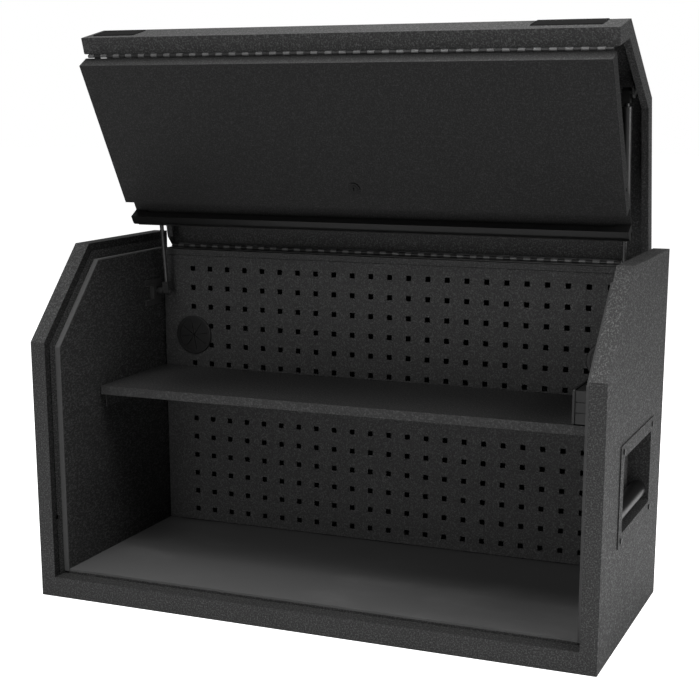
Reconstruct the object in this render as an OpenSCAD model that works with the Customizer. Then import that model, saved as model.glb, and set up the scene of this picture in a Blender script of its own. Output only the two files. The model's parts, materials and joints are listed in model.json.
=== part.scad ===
/* [Cabinet] */
// Width across the two side panels
body_w = 1040; // [1000:5:1200]
// Depth from the front edge to the back sheet
body_d = 452; // [440:2:520]
// Height of the closed cabinet
body_h = 635; // [620:1:640]
// Height of the upright part of the front, below the slope
front_h = 473.5; // [470:0.5:476]
// Depth at which the slope reaches the flat top
slope_run = 159; // [155:1:163]
// Width of the stile that frames each side of the front
stile_w = 28.8; // [28:0.2:30]
// Height of the rail under the door
rail_h = 37; // [36:0.5:38]
// Thickness of the sheet steel
sheet = 1.5; // [1.2:0.1:1.6]

/* [Interior] */
// Distance from the side panel to the inner wall
wall_gap = 40; // [40:0.5:43]
// Front face of the perforated panel, from the cabinet front
peg_y = 412; // [405:1:414]
// Spacing of the square holes
hole_pitch = 38.1; // [38.1:0.1:38.1]
// Side of a square hole
hole_side = 10; // [8:0.5:11]
// Columns of holes
hole_cols = 23; // [23:1:23]
// Rows of holes
hole_rows = 14; // [12:1:14]
// Sideways shift of the field of holes
hole_shift = 7.3; // [0:0.1:8]
// Height of the top row of holes
hole_top_z = 565.8; // [564:0.1:567]
// Diameter of the cable grommets
grommet_d = 77; // [70:1:78]
// Height of the top of the shelf
shelf_z = 368.5; // [366:0.5:369]
// Front edge of the shelf
shelf_y = 160; // [158:1:180]
// Depth of the shelf's folded edge
shelf_fold = 16.4; // [14:0.1:16.8]

/* [Lid and door] */
// Angle by which the lid stands open
lid_open = 78.4; // [70:0.1:78.4]
// Angle by which the door is folded under the open lid
door_fold = 108.3; // [95:0.1:108.3]
// Depth of the lid's side flanges
lid_depth = 28.5; // [27:0.1:28.5]
// Lower edge of the lid's front strip, when shut
strip_z = 394.4; // [394:0.1:395]
// Lower edge of the door's outer face, when shut
door_face_z = 104.2; // [100:0.1:110]
// Height of the lock's axis, when shut
lock_z = 147.7; // [140:0.1:155]

/* [Carrying handles] */
// Length of a handle's frame plate
grip_plate_l = 262; // [258:1:264]
// Height of a handle's frame plate
grip_plate_h = 174; // [170:1:176]
// Length of the hand opening
grip_open_l = 214; // [200:1:216]
// Height of the hand opening
grip_open_h = 128; // [120:1:130]
// Diameter of the grip tube
grip_d = 30; // [26:1:32]

/* [Gas struts] */
// Diameter of the strut's rod
rod_d = 8; // [6:1:8]
// Diameter of the strut's pressure tube
tube_d = 18; // [16:1:18]

/* [Hidden] */

half_w = body_w / 2;
gap = 0.1;
liner_x = half_w - wall_gap;
lid_half_w = half_w - 35.5;
door_half_w = liner_x - 0.6;
recess_x = half_w - stile_w;
lip_inset = 32.2;
channel_inset = 14;
seal_t = 2.5;
seal_back_y = body_d - 22;
deck_z = 41;
mat_t = 4;
back_y = body_d - sheet;

// Slope of the front: unit vector across it, and how an inset moves its two corners
slope_len = norm([slope_run, body_h - front_h]);
slope_ny = (body_h - front_h) / slope_len;
slope_nz = slope_run / slope_len;
function low_z(d) = front_h - d * (1 - slope_ny) / slope_nz;
function top_y(d) = (d + (body_h - d - front_h) * slope_nz) / slope_ny;

// Front, slope and top edges, moved inwards by d, from the bottom z to the back y
function edge_line(d, bottom, back) =
    [[d, bottom], [d, low_z(d)], [top_y(d), body_h - d], [back, body_h - d]];
function flip(a) = [for (i = [len(a) - 1:-1:0]) a[i]];
function band(d0, d1, bottom, back) =
    concat(edge_line(d0, bottom, back), flip(edge_line(d1, bottom, back)));

// Back hinge
hinge_y = body_d - 5.1;
hinge_z = body_h - 28.1;
hinge_r = 3.5;
hinge_pin_r = 1.6;
hinge_half = lid_half_w - 9.9;
knuckles = 74;
leaf_t = 1.2;
hinge_play = 0.5;
rail_top_z = body_h - 32;
lid_screw_pitch = 118;

// Door hinge, in the shut position
door_hinge_y = 32.3;
door_hinge_z = 395.3;
door_hinge_r = 3;
door_y = 2.5;
door_back_y = 29.2;
door_top_z = 392.85;
door_bottom_z = 41;
strip_flange_y = 29.2;
strip_flange_z = 397.7;
strip_lip_z = 413;

// Pull bar, in the shut position
bar_front_y = 4.5;
bar_back_y = 20;
bar_low_z = 47.7;
bar_top_z = 71;
bar_round = 12;
bar_wall = 2;
bar_end_t = 3;
bar_foot = 26;

// Lock
lock_rod_y = 16.5;
lock_rod_r = 3;
cam_y = 17;
cam_t = 2;
crank_r = 11;
crank_pin_r = 2;
rod_plate_t = 2;
rod_rest_x = door_half_w - sheet;

// Struts: lower pivot, upper pivot with the lid shut, and the lengths along the strut
strut_x = half_w - 63;
strut_low = [body_d - 66, body_h - 114];
strut_high_shut = [slope_run - 26, body_h - 70];
function turn(p, c, a) = c + [
    (p[0] - c[0]) * cos(a) - (p[1] - c[1]) * sin(a),
    (p[0] - c[0]) * sin(a) + (p[1] - c[1]) * cos(a)];
strut_high = turn(strut_high_shut, [hinge_y, hinge_z], -lid_open);
strut_len = norm(strut_high - strut_low);
strut_lean = atan2(strut_low[0] - strut_high[0], strut_high[1] - strut_low[1]);
tube_len = 190;
tube_from = strut_len - 25 - tube_len;
gland_len = 12;
piston_len = 6;
piston_at = tube_from + gland_len + 1.5;
socket = 13;
socket_len = 26;
stud_r = 4;
running = 0.05;

// Carrying handle
grip_y = 241.5;
grip_z = 264;
grip_plate_t = 2;
grip_tray_x = liner_x + sheet + 0.4;
grip_axis_z = 222;
grip_axis_x = 502;
grip_screw_l = 226;
grip_screw_h = 150;

// Power strip
strip_end_y = 155;
strip_len = 236;
strip_low_z = 372;
strip_high_z = 428;
strip_face_x = half_w - 91.5;
strip_face_t = 4;
outlets = 6;
outlet_pitch = 37;
case_wall = 2;

black = [0.10, 0.10, 0.105];
dark = [0.06, 0.06, 0.065];
rubber = [0.13, 0.13, 0.13];
steel = [0.55, 0.56, 0.58];

// Cabinet coordinates run from the front edge; the part's origin is the middle of the base
module cabinet() {
    translate([0, -body_d / 2, 0]) children();
}

module about(y, z, angle) {
    translate([0, y, z]) rotate([angle, 0, 0]) translate([0, -y, -z]) children();
}

module lid_pose() {
    cabinet() about(hinge_y, hinge_z, -lid_open) children();
}

module door_pose() {
    lid_pose() about(door_hinge_y, door_hinge_z, door_fold) children();
}

// Extrudes a (y, z) outline from x0 to x1
module along_x(x0, x1) {
    translate([x0, 0, 0]) rotate([90, 0, 90]) linear_extrude(x1 - x0) children();
}

module rod_x(x0, x1, y, z, r) {
    translate([x0, y, z]) rotate([0, 90, 0]) cylinder(h = x1 - x0, r = r, $fn = 48);
}

module rod_y(y0, y1, x, z, r) {
    translate([x, y0, z]) rotate([-90, 0, 0]) cylinder(h = y1 - y0, r = r, $fn = 48);
}

module block(x0, x1, y0, y1, z0, z1) {
    translate([x0, y0, z0]) cube([x1 - x0, y1 - y0, z1 - z0]);
}

module left_hand() {
    mirror([1, 0, 0]) children();
}

module side_panel() {
    difference() {
        union() {
            along_x(half_w - sheet, half_w) polygon(concat(edge_line(0, 0, body_d), [[body_d, 0]]));
            along_x(recess_x, half_w) difference() {
                polygon(concat(edge_line(0, 0, body_d), [[body_d, 0]]));
                polygon(concat(edge_line(sheet, sheet, back_y), [[back_y, sheet]]));
            }
            along_x(recess_x, recess_x + sheet) polygon(band(0, lip_inset + sheet, 0, body_d));
        }
        block(half_w - 5, half_w + 5, grip_y - grip_open_l / 2 - 3, grip_y + grip_open_l / 2 + 3,
            grip_z - grip_open_h / 2 - 3, grip_z + grip_open_h / 2 + 3);
        rod_x(recess_x - 5, recess_x + 5, lock_rod_y, lock_z, lock_rod_r + 1.5);
        handle_screw_holes();
    }
}

module liner() {
    along_x(liner_x, liner_x + sheet) difference() {
        polygon(concat(edge_line(lip_inset, sheet + gap, back_y - gap),
            [[back_y - gap, sheet + gap]]));
        translate([seal_back_y, rail_top_z]) square([50, 50]);
    }
    along_x(liner_x, recess_x - gap)
        polygon(band(lip_inset, lip_inset + sheet, rail_h + 1, seal_back_y));
    difference() {
        along_x(recess_x - gap - sheet, recess_x - gap)
            polygon(band(channel_inset, lip_inset + sheet, rail_h + 1, seal_back_y));
        rod_x(recess_x - 5, recess_x + 5, lock_rod_y, lock_z, lock_rod_r + 1.5);
    }
}

module seal() {
    along_x(liner_x, recess_x - sheet - 3 * gap)
        polygon(band(lip_inset - seal_t, lip_inset - gap, deck_z, seal_back_y));
}

module handle_screw_at() {
    for (y = [-1, 1] * grip_screw_l / 2, z = [-1, 1] * grip_screw_h / 2)
        translate([half_w, grip_y + y, grip_z + z]) rotate([0, 90, 0]) children();
}

module handle_screw_holes() {
    handle_screw_at() translate([0, 0, -5]) cylinder(h = 10, r = 2.6, $fn = 24);
}

module plate_outline(l, h, r) {
    for (y = [-1, 1] * (l / 2 - r), z = [-1, 1] * (h / 2 - r))
        translate([y, z]) circle(r = r, $fn = 32);
    square([l - 2 * r, h], center = true);
    square([l, h - 2 * r], center = true);
}

module handle_plate() {
    difference() {
        along_x(half_w + gap, half_w + grip_plate_t) translate([grip_y, grip_z]) difference() {
            plate_outline(grip_plate_l, grip_plate_h, 6);
            plate_outline(grip_open_l, grip_open_h, 6);
        }
        handle_screw_holes();
    }
}

module handle_tray() {
    difference() {
        along_x(grip_tray_x, half_w) translate([grip_y, grip_z])
            plate_outline(grip_open_l + 2 * sheet, grip_open_h + 2 * sheet, 7.5);
        along_x(grip_tray_x + sheet, half_w + 1) translate([grip_y, grip_z])
            plate_outline(grip_open_l, grip_open_h, 6);
    }
}

module handle_grip() {
    grip_end = grip_open_l / 2 - gap;
    difference() {
        rod_y(grip_y - grip_end, grip_y + grip_end, grip_axis_x, grip_axis_z, grip_d / 2);
        rod_y(grip_y - grip_end - 1, grip_y + grip_end + 1, grip_axis_x, grip_axis_z,
            grip_d / 2 - 2.5);
    }
}

module handle_screw_set() {
    handle_screw_at() {
        translate([0, 0, -8]) cylinder(h = 10 + grip_plate_t, r = 2.4, $fn = 24);
        translate([0, 0, grip_plate_t + gap]) difference() {
            cylinder(h = 2.2, r = 4.8, $fn = 32);
            translate([0, 0, 1.2]) cube([1.2, 6, 2.4], center = true);
            translate([0, 0, 1.2]) cube([6, 1.2, 2.4], center = true);
        }
    }
}

module strut_bracket() {
    z_mid = strut_low[1];
    difference() {
        block(liner_x - 2.5, liner_x - gap, 338, 398, z_mid - 25, z_mid + 25);
        block(liner_x - 5, liner_x + 5, 330, 358, z_mid - 13, z_mid + 13);
    }
    for (z = [-15, 13])
        block(liner_x - 9, liner_x - gap, 338, 358, z_mid + z, z_mid + z + 2);
    block(liner_x - 9, liner_x - gap, 358, 360, z_mid - 15, z_mid + 15);
    rod_x(strut_x - socket / 2 - 2, liner_x - gap, strut_low[0], strut_low[1], stud_r);
    rod_x(strut_x + socket / 2 + 1, liner_x - gap, strut_low[0], strut_low[1], stud_r + 3);
}

module shelf_bracket() {
    leg_x = liner_x - gap;
    top_z = shelf_z - shelf_fold - gap;
    difference() {
        block(leg_x - 25, leg_x, 180, 390, top_z - 27, top_z);
        block(leg_x - 30, leg_x - sheet, 170, 400, top_z - 40, top_z - sheet);
    }
}

module knuckle_spot(i) {
    pitch = 2 * hinge_half / knuckles;
    translate([-hinge_half + i * pitch, 0, 0]) children();
}

// One leaf of a piano hinge: its knuckles sit on every second place from `first`.
// The leaf leaves the knuckle towards -y, along its lower side, and is `width` wide.
module piano_leaf(first, width, r) {
    pitch = 2 * hinge_half / knuckles;
    long = pitch - 0.7;
    difference() {
        union() {
            block(-hinge_half, hinge_half, -width, 0, -r, -r + leaf_t);
            for (i = [first:2:knuckles - 1]) knuckle_spot(i) rod_x(0.35, 0.35 + long, 0, 0, r);
        }
        for (i = [1 - first:2:knuckles - 1])
            knuckle_spot(i) block(-0.35, pitch + 0.35, -r - hinge_play, r, -r - 1, r);
        rod_x(-hinge_half - 1, hinge_half + 1, 0, 0, hinge_pin_r + running);
    }
}

module left_side_panel() {
    color(black) cabinet() left_hand() side_panel();
}

module right_side_panel() {
    color(black) cabinet() side_panel();
}

module left_liner() {
    color(black) cabinet() left_hand() liner();
}

module right_liner() {
    color(black) cabinet() liner();
}

module floor_pan() {
    wide = recess_x - gap;
    narrow = liner_x - gap;
    ledge_y = lip_inset - gap;
    color(black) cabinet() {
        block(-wide, wide, 0, sheet, 0, rail_h);
        block(-wide, wide, 0, ledge_y, rail_h - sheet, rail_h);
        block(-narrow, narrow, ledge_y - sheet, ledge_y, rail_h - sheet, deck_z);
        block(-narrow, narrow, ledge_y - sheet, back_y - gap, deck_z - sheet, deck_z);
    }
}

module bottom_sheet() {
    color(black) cabinet()
        block(-recess_x + gap, recess_x - gap, sheet + gap, back_y - gap, 0, sheet);
}

module back_sheet() {
    color(black) cabinet()
        block(-recess_x + gap, recess_x - gap, back_y, body_d, 0, rail_top_z - sheet);
}

module back_rail() {
    narrow = liner_x - gap;
    rear_y = back_y - gap;
    lip_y = peg_y - 1;
    color(black) cabinet() {
        block(-narrow, narrow, lip_y, rear_y, rail_top_z - sheet, rail_top_z);
        block(-narrow, narrow, lip_y, lip_y + sheet, rail_top_z - 11, rail_top_z);
        block(-narrow, narrow, rear_y - sheet, rear_y, rail_top_z - 20, rail_top_z);
    }
}

first_hole_x = hole_shift - (hole_cols - 1) / 2 * hole_pitch;
grommet_z = hole_top_z - 3.5 * hole_pitch;
grommet_x = [first_hole_x, first_hole_x + (hole_cols - 1) * hole_pitch];
function covered(x, z) =
    min([for (gx = grommet_x) norm([x - gx, z - grommet_z])]) < grommet_d / 2;

module pegboard() {
    edge_x = liner_x - 3;
    low = deck_z + mat_t + 2;
    high = rail_top_z - 11.8;
    color(black) cabinet() difference() {
        union() {
            block(-edge_x, edge_x, peg_y, peg_y + sheet, low, high);
            for (s = [-1, 1]) translate([s * (edge_x - sheet / 2), peg_y + 8, (low + high) / 2])
                cube([sheet, 16, high - low], center = true);
        }
        for (c = [0:hole_cols - 1], r = [0:hole_rows - 1]) {
            x = first_hole_x + c * hole_pitch;
            z = hole_top_z - r * hole_pitch;
            if (!covered(x, z)) translate([x, peg_y, z])
                cube([hole_side, 4 * sheet, hole_side], center = true);
        }
        for (x = grommet_x) rod_y(peg_y - 5, peg_y + 5, x, grommet_z, grommet_d / 2 - 6);
    }
}

module grommet(x) {
    r = grommet_d / 2;
    inner = r - 7;
    translate([x, peg_y - gap, grommet_z]) rotate([90, 0, 0]) {
        rotate_extrude($fn = 96) {
            translate([inner, 0]) square([r - inner - 1.5, 3.5]);
            translate([r - 1.5, 0]) square([1.5, 2]);
            translate([r - 1.5, 2]) circle(r = 1.5, $fn = 24);
            translate([inner, -10]) square([0.8, 10]);
        }
        difference() {
            cylinder(h = 1.6, r = inner + 0.2, $fn = 96);
            for (a = [0:45:135]) rotate([0, 0, a + 10])
                cube([2 * inner - 5, 0.8, 10], center = true);
        }
    }
}

module left_grommet() {
    color(dark) cabinet() grommet(grommet_x[0]);
}

module right_grommet() {
    color(dark) cabinet() grommet(grommet_x[1]);
}

module shelf() {
    edge_x = liner_x - 2;
    rear_y = peg_y - 6;
    color(black) cabinet() difference() {
        block(-edge_x, edge_x, shelf_y, rear_y, shelf_z - shelf_fold, shelf_z);
        block(-edge_x + sheet, edge_x - sheet, shelf_y + sheet, rear_y - sheet,
            shelf_z - shelf_fold - 1, shelf_z - sheet);
    }
}

module left_shelf_bracket() {
    color(black) cabinet() left_hand() shelf_bracket();
}

module right_shelf_bracket() {
    color(black) cabinet() shelf_bracket();
}

module floor_mat() {
    edge_x = liner_x - 0.5;
    color(rubber) cabinet()
        block(-edge_x, edge_x, lip_inset, peg_y + 3, deck_z + gap, deck_z + gap + mat_t);
}

module left_seal() {
    color(rubber) cabinet() left_hand() seal();
}

module right_seal() {
    color(rubber) cabinet() seal();
}

module left_handle_plate() {
    color(black) cabinet() left_hand() handle_plate();
}

module right_handle_plate() {
    color(black) cabinet() handle_plate();
}

module left_handle_tray() {
    color(black) cabinet() left_hand() handle_tray();
}

module right_handle_tray() {
    color(black) cabinet() handle_tray();
}

module left_handle_grip() {
    color(dark) cabinet() left_hand() handle_grip();
}

module right_handle_grip() {
    color(dark) cabinet() handle_grip();
}

module handle_screws() {
    color(steel) cabinet() {
        handle_screw_set();
        left_hand() handle_screw_set();
    }
}

module left_strut_bracket() {
    color(dark) cabinet() left_hand() strut_bracket();
}

module right_strut_bracket() {
    color(dark) cabinet() strut_bracket();
}

module power_strip_case() {
    case_x = strip_face_x + strip_face_t + gap;
    color(dark) cabinet() difference() {
        block(case_x, liner_x - gap, strip_end_y, strip_end_y + strip_len,
            strip_low_z, strip_high_z);
        block(case_x - 1, liner_x - gap - case_wall, strip_end_y + 2 * case_wall,
            strip_end_y + strip_len - 2 * case_wall, strip_low_z + case_wall,
            strip_high_z - case_wall);
        for (z = [18, 36]) block(case_x + 1, liner_x, strip_end_y - 1, strip_end_y + 2,
            strip_low_z + z, strip_low_z + z + 2);
        rod_y(strip_end_y + strip_len - 6, strip_end_y + strip_len + 1,
            (case_x + liner_x) / 2, (strip_low_z + strip_high_z) / 2, 5);
    }
}

module power_strip_face() {
    mid_z = (strip_low_z + strip_high_z) / 2;
    first_y = strip_end_y + strip_len / 2 - (outlets - 1) / 2 * outlet_pitch;
    color(dark) cabinet() difference() {
        along_x(strip_face_x, strip_face_x + strip_face_t)
            translate([strip_end_y + strip_len / 2, mid_z])
                plate_outline(strip_len + 6, strip_high_z - strip_low_z + 4, 5);
        for (i = [0:outlets - 1]) translate([strip_face_x, first_y + i * outlet_pitch, mid_z]) {
            rod_x(-1, 1.5, 0, 0, 15);
            for (y = [-6.5, 6.5]) translate([1, y, 3]) cube([7, 2, 8], center = true);
            rod_x(-1, 3.5, 0, -7, 2.4);
        }
    }
}

module back_hinge_fixed_leaf() {
    color(steel) cabinet() translate([0, hinge_y, hinge_z])
        piano_leaf(0, 25, hinge_r);
}

module back_hinge_pin() {
    color(steel) cabinet()
        rod_x(-hinge_half, hinge_half, hinge_y, hinge_z, hinge_pin_r);
}

// Outline of the bent sheet that makes the lid, from the front strip's lip to the rear flange
function lid_sheet() = concat(
    [[strip_flange_y, strip_lip_z], [strip_flange_y, strip_flange_z], [0, strip_z]],
    edge_line(0, strip_z + 1, body_d),
    [[body_d, 614], [back_y, 614]],
    flip(edge_line(sheet, strip_z + 1.7, back_y)),
    [[strip_flange_y - sheet, strip_flange_z + 1.3], [strip_flange_y - sheet, strip_lip_z]]);

module lid_end() {
    chamfer = [[body_d, body_h], [body_d, 620], [seal_back_y, body_h - lid_depth]];
    along_x(lid_half_w - sheet, lid_half_w)
        polygon(concat([[0, strip_z + 0.5]], edge_line(0, strip_z + 1, seal_back_y), chamfer,
            [[top_y(lid_depth), body_h - lid_depth], [lid_depth, low_z(lid_depth)],
            [lid_depth, strip_flange_z]]));
    along_x(lid_half_w - 12, lid_half_w)
        polygon(band(lid_depth - sheet, lid_depth, strip_lip_z + 1, seal_back_y));
}

module lid_shell() {
    shell_half = lid_half_w - sheet - gap;
    color(black) lid_pose() along_x(-shell_half, shell_half) polygon(lid_sheet());
}

module left_lid_end() {
    color(black) lid_pose() left_hand() lid_end();
}

module right_lid_end() {
    color(black) lid_pose() lid_end();
}

module back_hinge_lid_leaf() {
    color(steel) lid_pose() translate([0, hinge_y, hinge_z]) rotate([90, 0, 0])
        mirror([0, 1, 0]) piano_leaf(1, 25, hinge_r);
}

module back_hinge_screws() {
    color(steel) lid_pose() for (i = [-4:4])
        translate([i * lid_screw_pitch, hinge_y + hinge_r - leaf_t - gap, 621])
            rotate([90, 0, 0]) {
                difference() {
                    cylinder(h = 1.8, r = 3.6, $fn = 32);
                    translate([0, 0, 1.5]) cube([4.5, 0.9, 1.6], center = true);
                }
            }
}

module door_hinge_lid_leaf() {
    color(steel) lid_pose() translate([0, door_hinge_y, door_hinge_z]) rotate([-90, 0, 0])
        piano_leaf(0, 16, door_hinge_r);
}

module door_hinge_pin() {
    color(steel) lid_pose()
        rod_x(-hinge_half, hinge_half, door_hinge_y, door_hinge_z, hinge_pin_r);
}

module name_plate(x, z, l, h) {
    color(dark) lid_pose() translate([x, 0, z]) rotate([90, 0, 0]) difference() {
        linear_extrude(1.6) plate_outline(l, h, 3);
        translate([0, 0, 1.2]) linear_extrude(1) plate_outline(l - 6, h - 6, 2);
    }
}

module left_name_plate() {
    name_plate(55 - lid_half_w, 437.5, 83, 49);
}

module right_name_plate() {
    name_plate(lid_half_w - 92.5, 447, 118, 48);
}

// Plate that carries the strut's upper end, fixed to the inside of the slope
module lid_bracket() {
    inner = sheet + gap;
    p = strut_high_shut;
    foot = [for (y = [p[0] - 42, p[0] + 6]) [y, front_h + (y * slope_ny - inner) / slope_nz]];
    plate_x = strut_x + tube_d / 2 + 1.2;
    along_x(plate_x, plate_x + 2.4)
        polygon([foot[0], foot[1], [p[0] + 13, p[1] + 4], [p[0] + 9, p[1] - 9],
            [p[0] - 9, p[1] - 9], [p[0] - 13, p[1] + 2]]);
    rod_x(plate_x + 2, plate_x + 5, p[0], p[1], 6.5);
}

module left_lid_bracket() {
    color(dark) lid_pose() left_hand() lid_bracket();
}

module right_lid_bracket() {
    color(dark) lid_pose() lid_bracket();
}

module lid_stiffener() {
    z = body_h - sheet - gap;
    block(strut_x - 10, strut_x + 10, 191, 312, z - 1.5, z);
}

module left_lid_stiffener() {
    color(black) lid_pose() left_hand() lid_stiffener();
}

module right_lid_stiffener() {
    color(black) lid_pose() lid_stiffener();
}

module door_face() {
    w = door_half_w;
    rear_y = door_back_y - sheet - gap;
    color(black) door_pose() difference() {
        block(-w, w, door_y, rear_y, door_face_z, door_top_z);
        block(-w + sheet, w - sheet, door_y + sheet, rear_y + 1, door_face_z + sheet,
            door_top_z - sheet);
        rod_y(door_y - 1, door_y + 3, 0, lock_z, 9.6);
        for (s = [-1, 1]) rod_x(s * w - 3, s * w + 3, lock_rod_y, lock_z, lock_rod_r + 0.3);
    }
}

module door_inner_panel() {
    w = door_half_w;
    color(black) door_pose() {
        block(-w, w, door_back_y - sheet, door_back_y, door_bottom_z, door_top_z);
        block(-w, w, door_back_y - 9, door_back_y, door_bottom_z, door_bottom_z + sheet);
    }
}

module door_hinge_door_leaf() {
    color(steel) door_pose() translate([0, door_hinge_y, door_hinge_z])
        rotate([90, 0, 0]) mirror([0, 0, 1]) piano_leaf(1, 16, door_hinge_r);
}

module bar_outline() {
    knee_y = bar_front_y + bar_round;
    knee_z = bar_low_z + bar_round;
    translate([knee_y, bar_low_z]) square([bar_back_y - knee_y, bar_top_z - bar_low_z]);
    translate([bar_front_y, knee_z]) square([bar_round, bar_top_z - knee_z]);
    intersection() {
        translate([knee_y, knee_z]) circle(r = bar_round, $fn = 64);
        translate([bar_front_y, bar_low_z]) square([bar_round, bar_round]);
    }
}

module door_bar() {
    bar_half = door_half_w - bar_end_t - gap;
    color(dark) door_pose() difference() {
        along_x(-bar_half, bar_half) bar_outline();
        along_x(-bar_half - 1, bar_half + 1) {
            translate([bar_front_y + bar_wall, bar_low_z + bar_round])
                square([bar_back_y - bar_front_y - 2 * bar_wall,
                    bar_top_z - bar_low_z - bar_round - bar_wall]);
            translate([bar_front_y + bar_round, bar_low_z + bar_wall])
                square([bar_back_y - bar_front_y - bar_round - bar_wall, bar_round]);
        }
    }
}

module bar_end() {
    w = door_half_w;
    band_y = door_back_y - sheet - gap;
    along_x(w - bar_end_t, w) {
        bar_outline();
        translate([bar_back_y - 1, bar_top_z - 13]) square([band_y - bar_back_y + 1, 13]);
    }
    block(w - bar_foot, w - bar_end_t, bar_back_y + gap, band_y, bar_top_z - 3, bar_top_z);
    block(w - bar_foot, w - bar_end_t, band_y - 2.5, band_y, bar_top_z - 13, bar_top_z);
}

module left_bar_end() {
    color(dark) door_pose() left_hand() bar_end();
}

module right_bar_end() {
    color(dark) door_pose() bar_end();
}

plug_r = 7;

module lock_housing() {
    color(steel) door_pose() difference() {
        union() {
            rod_y(door_y - 2, door_y - gap, 0, lock_z, 11);
            rod_y(door_y - 1, cam_y - 1, 0, lock_z, 9.5);
        }
        rod_y(door_y - 3, cam_y, 0, lock_z, plug_r + running);
    }
}

module lock_plug() {
    color(steel) door_pose() difference() {
        rod_y(door_y - 2.6, cam_y - gap, 0, lock_z, plug_r);
        block(-0.9, 0.9, door_y - 3, door_y + 8, lock_z - 4, lock_z + 4);
    }
}

module lock_cam() {
    color(steel) door_pose() {
        rod_y(cam_y, cam_y + cam_t, 0, lock_z, crank_r + 4);
        for (a = [135, -45]) rod_y(cam_y + 1, cam_y + cam_t + 3.2, crank_r * cos(a),
            lock_z + crank_r * sin(a), crank_pin_r);
    }
}

// Locking rod: a slotted plate on the crank pin, and a round rod out to the door's edge
module lock_rod() {
    pin = crank_r * cos(45);
    slot = crank_pin_r + 0.8;
    plate_y = cam_y + cam_t + 0.3;
    plate_low = lock_z + 1.5;
    plate_high = lock_z + crank_r + slot + 2;
    neck = crank_r + 6;
    difference() {
        block(-pin - slot - 2, neck + 5, plate_y, plate_y + rod_plate_t, plate_low, plate_high);
        block(-pin - slot, -pin + slot, plate_y - 1, plate_y + 5, lock_z + pin - slot,
            lock_z + crank_r + slot);
    }
    block(neck, neck + 5, lock_rod_y - 2, plate_y + rod_plate_t, lock_z - 2, plate_high);
    rod_x(neck, rod_rest_x, lock_rod_y, lock_z, lock_rod_r);
}

module right_lock_rod() {
    color(steel) door_pose() lock_rod();
}

module left_lock_rod() {
    color(steel) door_pose() translate([0, 0, lock_z]) rotate([0, 180, 0])
        translate([0, 0, -lock_z]) lock_rod();
}

// Strut frame: the lower pivot at the origin, the strut along +z
module strut_pose() {
    cabinet() translate([strut_x, strut_low[0], strut_low[1]]) rotate([strut_lean, 0, 0])
        children();
}

module ball_socket(z0, toward, bore) {
    difference() {
        union() {
            translate([-socket / 2, -socket / 2, toward > 0 ? z0 : z0 - socket_len + socket / 2])
                cube([socket, socket, socket_len - socket / 2]);
            translate([0, 0, z0]) rod_x(-socket / 2, socket / 2, 0, 0, socket / 2);
        }
        translate([0, 0, z0]) rod_x(-socket, socket, 0, 0, bore);
    }
}

module strut_rod() {
    ball_socket(0, 1, stud_r + running);
    translate([0, 0, socket_len - socket / 2 - 2])
        cylinder(h = piston_at - socket_len + socket / 2 + 2, r = rod_d / 2, $fn = 48);
    translate([0, 0, piston_at]) cylinder(h = piston_len, r = tube_d / 2 - 1.6, $fn = 48);
}

module strut_tube() {
    difference() {
        translate([0, 0, tube_from]) cylinder(h = tube_len, r = tube_d / 2, $fn = 64);
        translate([0, 0, tube_from - 1])
            cylinder(h = gland_len + 2, r = rod_d / 2 + running, $fn = 48);
        translate([0, 0, tube_from + gland_len])
            cylinder(h = tube_len - gland_len - 5, r = tube_d / 2 - 1.5, $fn = 64);
    }
    translate([0, 0, tube_from + tube_len - 0.5]) cylinder(h = 6, r = 5, $fn = 32);
    ball_socket(strut_len, -1, stud_r - 1);
    translate([0, 0, strut_len]) rod_x(-socket / 2 - 1, tube_d / 2 + 0.8, 0, 0, stud_r);
}

module left_strut_rod() {
    color(steel) left_hand() strut_pose() strut_rod();
}

module right_strut_rod() {
    color(steel) strut_pose() strut_rod();
}

module left_strut_tube() {
    color(dark) left_hand() strut_pose() strut_tube();
}

module right_strut_tube() {
    color(dark) strut_pose() strut_tube();
}

left_side_panel();
right_side_panel();
left_liner();
right_liner();
floor_pan();
bottom_sheet();
back_sheet();
back_rail();
pegboard();
left_grommet();
right_grommet();
shelf();
left_shelf_bracket();
right_shelf_bracket();
floor_mat();
left_seal();
right_seal();
left_handle_plate();
right_handle_plate();
left_handle_tray();
right_handle_tray();
left_handle_grip();
right_handle_grip();
handle_screws();
left_strut_bracket();
right_strut_bracket();
power_strip_case();
power_strip_face();
back_hinge_fixed_leaf();
back_hinge_pin();
lid_shell();
left_lid_end();
right_lid_end();
back_hinge_lid_leaf();
back_hinge_screws();
door_hinge_lid_leaf();
door_hinge_pin();
left_name_plate();
right_name_plate();
left_lid_bracket();
right_lid_bracket();
left_lid_stiffener();
right_lid_stiffener();
door_face();
door_inner_panel();
door_hinge_door_leaf();
door_bar();
left_bar_end();
right_bar_end();
lock_housing();
lock_plug();
lock_cam();
left_lock_rod();
right_lock_rod();
left_strut_rod();
right_strut_rod();
left_strut_tube();
right_strut_tube();
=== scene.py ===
import json
import math

import bpy
from mathutils import Matrix, Vector

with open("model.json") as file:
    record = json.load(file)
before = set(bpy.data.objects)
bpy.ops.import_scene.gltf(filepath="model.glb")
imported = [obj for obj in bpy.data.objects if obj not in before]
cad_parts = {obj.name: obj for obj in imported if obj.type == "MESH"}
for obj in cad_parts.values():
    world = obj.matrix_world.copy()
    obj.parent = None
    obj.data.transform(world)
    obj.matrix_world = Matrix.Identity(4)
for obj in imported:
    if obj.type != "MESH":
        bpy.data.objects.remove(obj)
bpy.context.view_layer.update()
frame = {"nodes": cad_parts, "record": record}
nodes = frame["nodes"]
MM = 0.001

# The colour sockets of Blender's Mix node
MIX_A, MIX_B, MIX_RESULT = 6, 7, 2


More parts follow.
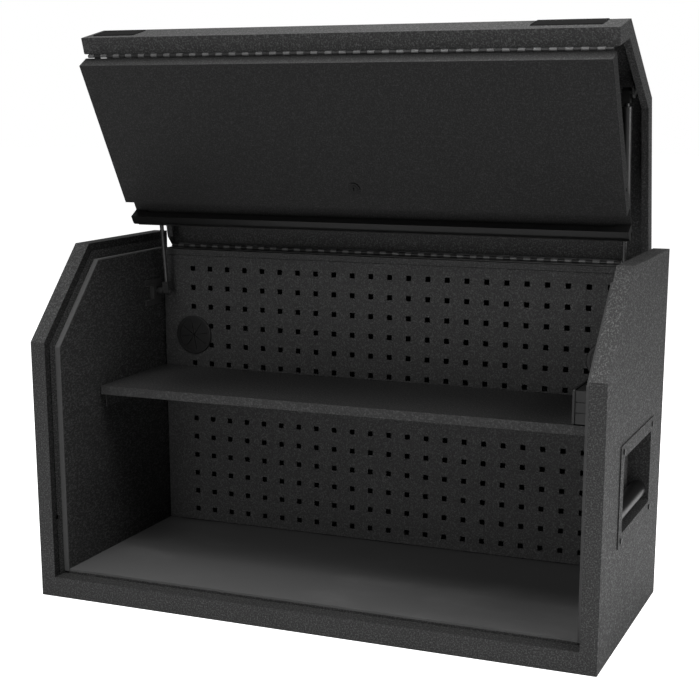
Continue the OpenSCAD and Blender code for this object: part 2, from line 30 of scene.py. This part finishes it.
# ---------------------------------------------------------------- shader helpers
class Shader:
    """A Principled material with short ways to add the nodes used here."""

    def __init__(self, name):
        self.mat = bpy.data.materials.new(name)
        self.mat.use_nodes = True
        self.tree = self.mat.node_tree
        self.bsdf = self.tree.nodes["Principled BSDF"]
        self.coord = self.tree.nodes.new("ShaderNodeTexCoord")

    def put(self, socket, value):
        self.bsdf.inputs[socket].default_value = value
        return self

    def node(self, kind, **inputs):
        made = self.tree.nodes.new(kind)
        for key, value in inputs.items():
            made.inputs[key.replace("_", " ")].default_value = value
        return made

    def link(self, a, b):
        self.tree.links.new(a, b)

    def noise(self, scale, detail=2.0, rough=0.5, stretch=(1, 1, 1)):
        place = self.tree.nodes.new("ShaderNodeMapping")
        place.inputs["Scale"].default_value = stretch
        self.link(self.coord.outputs["Object"], place.inputs["Vector"])
        made = self.node("ShaderNodeTexNoise", Scale=scale, Detail=detail, Roughness=rough)
        self.link(place.outputs["Vector"], made.inputs["Vector"])
        return made.outputs["Fac"]

    def ramp(self, fac, low, high, a, b):
        made = self.tree.nodes.new("ShaderNodeMapRange")
        made.inputs["From Min"].default_value = low
        made.inputs["From Max"].default_value = high
        made.inputs["To Min"].default_value = a
        made.inputs["To Max"].default_value = b
        self.link(fac, made.inputs["Value"])
        return made.outputs["Result"]

    def math(self, kind, a, b):
        made = self.tree.nodes.new("ShaderNodeMath")
        made.operation = kind
        for i, v in enumerate((a, b)):
            if isinstance(v, (int, float)):
                made.inputs[i].default_value = v
            else:
                self.link(v, made.inputs[i])
        return made.outputs["Value"]

    def colour(self, fac, dark, light):
        made = self.tree.nodes.new("ShaderNodeMix")
        made.data_type = "RGBA"
        made.inputs[MIX_A].default_value = (*dark, 1)
        made.inputs[MIX_B].default_value = (*light, 1)
        self.link(fac, made.inputs[0])
        self.link(made.outputs[MIX_RESULT], self.bsdf.inputs["Base Color"])
        return self

    def rough(self, value):
        self.link(value, self.bsdf.inputs["Roughness"])
        return self

    def facing(self, direction):
        """1 where a face looks along direction, 0 or less where it doesn't."""
        made = self.tree.nodes.new("ShaderNodeVectorMath")
        made.operation = "DOT_PRODUCT"
        self.link(self.tree.nodes.new("ShaderNodeNewGeometry").outputs["True Normal"], made.inputs[0])
        made.inputs[1].default_value = direction
        return made.outputs["Value"]

    def bump(self, height, distance, strength=1.0):
        made = self.node("ShaderNodeBump", Strength=strength, Distance=distance)
        self.link(height, made.inputs["Height"])
        self.link(made.outputs["Normal"], self.bsdf.inputs["Normal"])
        return self


def grey(v, warm=0.0):
    return (v * (1 + warm), v, v * (1 - warm))


# The coat's grains are twice as long from front to back as they are wide
GRAIN_STRETCH = (1, 0.5, 1)
CLOUD_SIZE = 9


def powder(name, value, speck=0.6, shine=0.5, size=380, bump=0.0003, shaded=None, dim=1.0):
    """Wrinkled powder coat: fine bright grains on a darker ground.

    Faces that look along the direction shaded are the insides of a recess; their colour and
    gloss are painted dim times as bright, a painted shade standing in for the recess's shadow.
    """
    s = Shader(name)
    grain = s.ramp(s.noise(size, 2.0, 0.7, GRAIN_STRETCH), 0.47, 0.72, 0.0, 1.0)
    cloud = s.ramp(s.noise(CLOUD_SIZE, 3.0, 0.5), 0.3, 0.7, -0.08, 0.08)
    low, high = 1 - 0.5 * speck, 1 + 1.5 * speck
    tone = s.ramp(s.math("ADD", grain, cloud), -0.1, 1.1, value * low, value * high)
    gloss = s.ramp(grain, 0, 1, shine * low, shine * high)
    # Painted shade: colour and gloss of faces that look along shaded are multiplied down towards dim
    if shaded:
        shade = s.ramp(s.facing(shaded), 0.3, 0.6, 1.0, dim)
        tone, gloss = s.math("MULTIPLY", tone, shade), s.math("MULTIPLY", gloss, shade)
    s.put("Specular IOR Level", shine)
    s.link(tone, s.bsdf.inputs["Base Color"])
    s.link(gloss, s.bsdf.inputs["Specular IOR Level"])
    s.rough(s.ramp(grain, 0, 1, 0.65, 0.45))
    s.bump(grain, bump)
    return s.mat


def satin(name, value, rough=0.38, metallic=0.0):
    s = Shader(name)
    cloud = s.noise(35, 3.0, 0.6)
    s.colour(s.ramp(cloud, 0.3, 0.7, 0, 1), grey(value * 0.88), grey(value * 1.12))
    s.rough(s.ramp(s.noise(160, 2.0), 0.3, 0.7, rough - 0.02, rough + 0.03))
    s.put("Metallic", metallic)
    return s.mat


def metal(name, value, rough=0.35, warm=0.0):
    s = Shader(name)
    brush = s.noise(240, 3.0, 0.6, (0.15, 1, 1))
    s.colour(s.ramp(brush, 0.3, 0.7, 0, 1), grey(value * 0.8, warm), grey(value * 1.2, warm))
    s.rough(s.ramp(brush, 0.3, 0.7, rough - 0.08, rough + 0.1))
    s.put("Metallic", 1.0)
    return s.mat


def rubber(name, value, rough=0.8):
    s = Shader(name)
    fine = s.noise(420, 2.0)
    s.colour(s.ramp(fine, 0.3, 0.7, 0, 1), grey(value * 0.92), grey(value * 1.08))
    s.rough(s.ramp(fine, 0.3, 0.7, rough - 0.05, rough + 0.08))
    s.bump(fine, 0.00005)
    s.put("Specular IOR Level", 0.35)
    return s.mat


def mat_rubber(name):
    """Smooth sheet rubber with dusty scuffs and short fine scratches."""
    s = Shader(name)
    dust = s.ramp(s.noise(5.5, 6.0, 0.68, (1, 2.2, 1)), 0.52, 0.78, 0.0, 0.55)
    marks = s.ramp(s.noise(26, 4.0, 0.7, (0.35, 2.6, 1)), 0.64, 0.72, 0.0, 0.5)
    worn = s.math("MULTIPLY", marks, s.ramp(s.noise(4, 2.0), 0.5, 0.62, 0.0, 1.0))
    fine = s.ramp(s.noise(380, 2.0), 0.3, 0.7, 0.0, 0.12)
    tone = s.math("ADD", s.math("ADD", dust, worn), fine)
    s.colour(tone, grey(0.098), grey(0.17))
    s.rough(s.ramp(tone, 0.0, 1.0, 0.50, 0.68))
    return s.mat


RIGHTWARD, LEFTWARD, UP_FORWARD = (1, 0, 0), (-1, 0, 0), (0, -0.707, 0.707)
POWDER = powder("powder_coat", 0.030)
# Copies of the powder coat with painted shade: the inward faces of the side panels' recesses and the
# liners' up-and-forward faces in the channels behind the seals are painted darker
LEFT_SIDE = powder("powder_coat_left_side_painted_shade", 0.030, shaded=RIGHTWARD, dim=0.4)
RIGHT_SIDE = powder("powder_coat_right_side_painted_shade", 0.030, shaded=LEFTWARD, dim=0.4)
INSIDE = powder("powder_coat_inside", 0.026, speck=0.4)
LINER = powder("powder_coat_liner_painted_shade", 0.022, speck=0.8, shine=0.42, shaded=UP_FORWARD, dim=0.3)
DOOR = powder("powder_coat_door", 0.012, speck=0.3, shine=0.3, size=450, bump=0.0001)
SATIN = satin("satin_black", 0.006, 0.3)
HINGE_STEEL = satin("hinge_steel", 0.035, 0.36, 0.25)
# A lighter copy of the hinge steel for the lid leaves: a painted highlight standing in for the glints
# on their knuckles
HINGE_PAINTED_HIGHLIGHT = satin("hinge_steel_painted_highlight", 0.17, 0.36, 0.25)
BLACK_ZINC = satin("black_zinc", 0.04, 0.34, 0.4)
BRACKET = satin("bracket_steel", 0.055, 0.34, 0.4)
SEAL = rubber("seal_foam", 0.075, 0.85)
BLACK_RUBBER = rubber("black_rubber", 0.007, 0.4)
MAT = mat_rubber("floor_rubber")
PLASTIC = rubber("black_plastic", 0.016, 0.45)
PLATE = satin("plate_black", 0.014, 0.16)
ZINC = metal("zinc_steel", 0.35, 0.4, 0.01)
CHROME = metal("lock_chrome", 0.025, 0.3)
STRUT_ROD = satin("strut_rod", 0.05, 0.25, 0.4)
STRUT_TUBE = satin("strut_tube", 0.014, 0.3)

BY_SLOT = {
    "black_powder_coat": POWDER, "satin_black": SATIN, "mat_rubber": MAT, "seal_foam": SEAL,
    "black_rubber": BLACK_RUBBER, "blackened_steel": BLACK_ZINC, "hinge_steel": HINGE_STEEL,
    "black_plastic": PLASTIC, "plate_black": PLATE, "zinc_steel": ZINC, "lock_chrome": CHROME,
    "strut_rod_steel": STRUT_ROD, "strut_black": STRUT_TUBE,
}
BY_NODE = {
    "door_face": DOOR, "door_inner_panel": DOOR, "pegboard": INSIDE,
    "left_side_panel": LEFT_SIDE, "right_side_panel": RIGHT_SIDE,
    "left_liner": LINER, "right_liner": LINER, "shelf": INSIDE, "back_rail": INSIDE,
    "left_strut_bracket": BRACKET, "right_strut_bracket": BRACKET,
    "door_hinge_lid_leaf": HINGE_PAINTED_HIGHLIGHT, "back_hinge_lid_leaf": HINGE_PAINTED_HIGHLIGHT,
}
for row in frame["record"]["subparts"]:
    obj = nodes[row["node"]]
    obj.data.materials.clear()
    obj.data.materials.append(BY_NODE.get(row["node"], BY_SLOT[row["material_slot"]]))

# Narrow rounded edges, in millimetres, so that folded steel catches a thin line of light
SHARPEST_SMOOTH = math.radians(35)
BEVELLED = {
    "left_side_panel": 1.2, "right_side_panel": 1.2, "floor_pan": 1.0, "shelf": 1.2,
    "lid_shell": 1.0, "door_face": 1.2, "back_rail": 0.6, "left_handle_plate": 0.7,
    "right_handle_plate": 0.7, "left_liner": 0.6, "right_liner": 0.6, "left_seal": 0.8,
    "right_seal": 0.8, "floor_mat": 1.0, "power_strip_face": 0.8, "power_strip_case": 0.8,
    "door_inner_panel": 0.5, "left_bar_end": 0.6, "right_bar_end": 0.6, "door_bar": 0.8,
    "left_name_plate": 0.4, "right_name_plate": 0.4, "lock_housing": 0.5, "lock_plug": 0.3,
    "left_strut_bracket": 0.4, "right_strut_bracket": 0.4, "back_hinge_screws": 0.4,
    "handle_screws": 0.5,
}
for name, width in BEVELLED.items():
    edge = nodes[name].modifiers.new("edge", "BEVEL")
    edge.width = width * MM
    edge.segments = 2
    edge.limit_method = "ANGLE"
    edge.angle_limit = SHARPEST_SMOOTH
    edge.harden_normals = True

# ---------------------------------------------------------------- stage
bpy.ops.mesh.primitive_plane_add(size=40, location=(0, 0, -0.0005))
floor = bpy.context.object
floor.name = "floor"
paper = Shader("paper")
paper.colour(paper.ramp(paper.noise(2.0), 0.3, 0.7, 0, 1), (0.84, 0.84, 0.845), (0.86, 0.86, 0.865))
paper.put("Roughness", 0.9)
paper.put("Specular IOR Level", 0.1)
paper.put("Emission Color", (1, 1, 1, 1))
camera_ray = paper.tree.nodes.new("ShaderNodeLightPath").outputs["Is Camera Ray"]
paper.link(paper.ramp(camera_ray, 0, 1, 0.0, 1.0), paper.bsdf.inputs["Emission Strength"])
floor.data.materials.append(paper.mat)


def area(name, place, target, size, power):
    data = bpy.data.lights.new(name, "AREA")
    data.energy = power
    data.size = size
    lamp = bpy.data.objects.new(name, data)
    lamp.location = place
    lamp.rotation_euler = (Vector(target) - Vector(place)).to_track_quat("-Z", "Y").to_euler()
    bpy.context.scene.collection.objects.link(lamp)


# Softboxes: place, target, size in metres and power in watts
SOFTBOXES = {
    "right": ((3.4, 0.3, 1.1), (0.4, 0, 0.4), 1.8, 41),
    "right_high": ((2.4, -0.6, 2.8), (0.3, 0, 0.4), 1.6, 42),
    "front_low": ((-0.4, -3.6, 0.7), (0, 0, 0.4), 1.6, 24),
    "front_high": ((-0.6, -2.8, 2.8), (0, 0, 0.4), 1.6, 20),
    "top": ((-0.2, 0.2, 3.4), (0, 0, 0.5), 2.0, 100),
}
for name, softbox in SOFTBOXES.items():
    area(name, *softbox)

# The room lights the chest faintly, but looks white behind it
AMBIENT = 0.03
world = bpy.data.worlds.new("soft")
world.use_nodes = True
tree = world.node_tree
tree.nodes["Background"].inputs["Color"].default_value = (1, 1, 1, 1)
seen = tree.nodes.new("ShaderNodeLightPath")
strength = tree.nodes.new("ShaderNodeMapRange")
strength.inputs["To Min"].default_value = AMBIENT
strength.inputs["To Max"].default_value = 1.0
tree.links.new(seen.outputs["Is Camera Ray"], strength.inputs["Value"])
tree.links.new(strength.outputs["Result"], tree.nodes["Background"].inputs["Strength"])
bpy.context.scene.world = world
bpy.context.scene.view_settings.view_transform = "Standard"

# ---------------------------------------------------------------- camera
CAMERA_PLACE = (1.00806, -2.42744, 0.90342)
PITCH, YAW, ROLL = 0.2244, 0.4073, 0.0037
SENSOR_WIDTH, LENS = 36, 76.54
SHIFT = (0.0309, 0.1193)


def level_axes(pitch, yaw):
    """The right, up and ahead directions of a camera that isn't rolled."""
    ahead = Vector((
        -math.sin(yaw) * math.cos(pitch), math.cos(yaw) * math.cos(pitch), -math.sin(pitch)))
    right = Vector((math.cos(yaw), math.sin(yaw), 0))
    return right, right.cross(ahead), ahead


right, up, ahead = level_axes(PITCH, YAW)
turned = Matrix.Rotation(ROLL, 3, ahead)
axes = Matrix((turned @ right, turned @ up, -ahead)).transposed()
cam_data = bpy.data.cameras.new("camera")
cam_data.sensor_width = SENSOR_WIDTH
cam_data.lens = LENS
cam_data.shift_x, cam_data.shift_y = SHIFT
cam = bpy.data.objects.new("camera", cam_data)
cam.matrix_world = Matrix.Translation(CAMERA_PLACE) @ axes.to_4x4()
bpy.context.scene.collection.objects.link(cam)
bpy.context.scene.camera = cam
